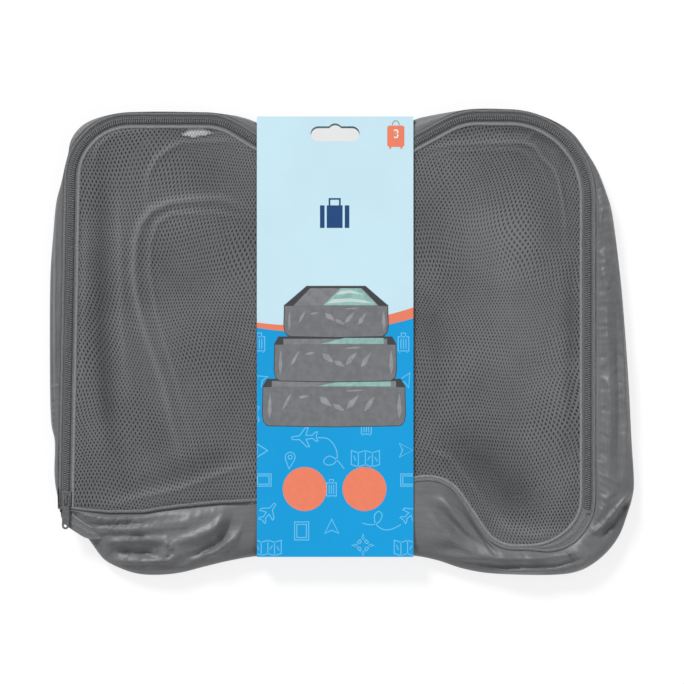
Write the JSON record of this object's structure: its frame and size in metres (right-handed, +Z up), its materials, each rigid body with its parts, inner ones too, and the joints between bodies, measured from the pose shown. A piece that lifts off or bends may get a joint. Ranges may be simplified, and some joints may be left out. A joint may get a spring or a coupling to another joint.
{
  "type": "packing cube set",
  "caption": "Mesh-topped zipped packing cubes nested inside one another, folded flat and held at the waist by a printed card sleeve with a hanging slot.",
  "frame": {"origin": "on the floor, at the centre of the outline", "axes": "+Z up from the floor, +X along the long side, +Y towards the zipped front side and the sleeve's hanging slot"},
  "size_m": [0.386, 0.307, 0.0187],
  "materials": {
    "woven_cloth": "soft matt woven nylon",
    "mesh_net": "knitted net with open diamond holes",
    "seam_tape": "folded ribbed tape",
    "zip_tape": "close woven tape",
    "zip_coil": "satin moulded coil",
    "slider_metal": "satin paint on die-cast metal",
    "printed_card": "satin printed card",
    "label_cloth": "smooth woven label"
  },
  "bodies": {
    "stack": {"large_base_panel": "woven_cloth", "large_base_piping": "seam_tape", "large_wall_left": "woven_cloth", "large_wall_front": "woven_cloth", "large_wall_right": "woven_cloth", "large_wall_hinge": "woven_cloth", "large_wall_binding": "seam_tape", "large_zip_tape_wall": "zip_tape", "large_zip_coil_wall": "zip_coil", "large_zip_tails": "zip_coil", "large_zip_stops": "zip_coil", "large_hinge_strip": "woven_cloth", "medium_base_panel": "woven_cloth", "medium_base_piping": "seam_tape", "medium_wall_left": "woven_cloth", "medium_wall_front": "woven_cloth", "medium_wall_right": "woven_cloth", "medium_wall_hinge": "woven_cloth", "medium_wall_binding": "seam_tape", "medium_zip_tape_wall": "zip_tape", "medium_zip_coil_wall": "zip_coil", "medium_zip_tails": "zip_coil", "medium_zip_stops": "zip_coil", "medium_hinge_strip": "woven_cloth", "small_base_panel": "woven_cloth", "small_base_piping": "seam_tape", "small_wall_left": "woven_cloth", "small_wall_front": "woven_cloth", "small_wall_right": "woven_cloth", "small_wall_hinge": "woven_cloth", "small_wall_binding": "seam_tape", "small_zip_tape_wall": "zip_tape", "small_zip_coil_wall": "zip_coil", "small_zip_tails": "zip_coil", "small_zip_stops": "zip_coil", "small_hinge_strip": "woven_cloth", "sleeve_back_panel": "printed_card", "sleeve_bottom_spine": "printed_card", "sleeve_top_flap": "printed_card", "large_care_label": "label_cloth"},
    "sleeve_front": {"sleeve_front_panel": "printed_card"},
    "large_lid": {"large_zip_tape_lid": "zip_tape", "large_zip_coil_lid": "zip_coil", "large_lid_binding": "seam_tape", "large_lid_mesh": "mesh_net"},
    "medium_lid": {"medium_zip_tape_lid": "zip_tape", "medium_zip_coil_lid": "zip_coil", "medium_lid_binding": "seam_tape", "medium_lid_mesh": "mesh_net"},
    "small_lid": {"small_zip_tape_lid": "zip_tape", "small_zip_coil_lid": "zip_coil", "small_lid_binding": "seam_tape", "small_lid_mesh": "mesh_net"},
    "large_slider": {"large_slider": "slider_metal"},
    "large_puller": {"large_puller": "slider_metal"},
    "medium_slider": {"medium_slider": "slider_metal", "medium_puller": "slider_metal"},
    "small_slider": {"small_slider": "slider_metal", "small_puller": "slider_metal"}
  },
  "joints": [
    {"name": "sleeve_open", "type": "hinge", "parent": "stack", "child": "sleeve_front", "pos_m": [0, -0.1406, 0.01685], "axis": [1, 0, 0], "range_deg": [0, 160]},
    {"name": "large_lid_open", "type": "hinge", "parent": "stack", "child": "large_lid", "pos_m": [0, -0.078, 0.01655], "axis": [1, 0, 0], "range_deg": [0, 160]},
    {"name": "medium_lid_open", "type": "hinge", "parent": "stack", "child": "medium_lid", "pos_m": [0, -0.058, 0.0129], "axis": [1, 0, 0], "range_deg": [0, 160]},
    {"name": "small_lid_open", "type": "hinge", "parent": "stack", "child": "small_lid", "pos_m": [0, -0.044, 0.00925], "axis": [1, 0, 0], "range_deg": [0, 160]},
    {"name": "large_zip_run", "type": "slide", "parent": "stack", "child": "large_slider", "axis": [0.0184, 0.9998, 0], "range_m": [0, 0.2]},
    {"name": "large_puller_lift", "type": "hinge", "parent": "large_slider", "child": "large_puller", "pos_m": [-0.18107, -0.1025, 0.0177], "axis": [-0.9998, 0.0184, 0], "range_deg": [0, 170]},
    {"name": "medium_zip_run", "type": "slide", "parent": "stack", "child": "medium_slider", "axis": [0, 1, 0], "range_m": [0, 0.165]},
    {"name": "small_zip_run", "type": "slide", "parent": "stack", "child": "small_slider", "axis": [-0.093, 0.9957, 0], "range_m": [0, 0.118]}
  ],
  "couplings": [
    {"joint": "large_lid_open", "follows": "sleeve_open", "ratio": 1},
    {"joint": "medium_lid_open", "follows": "sleeve_open", "ratio": 1},
    {"joint": "small_lid_open", "follows": "sleeve_open", "ratio": 1}
  ]
}
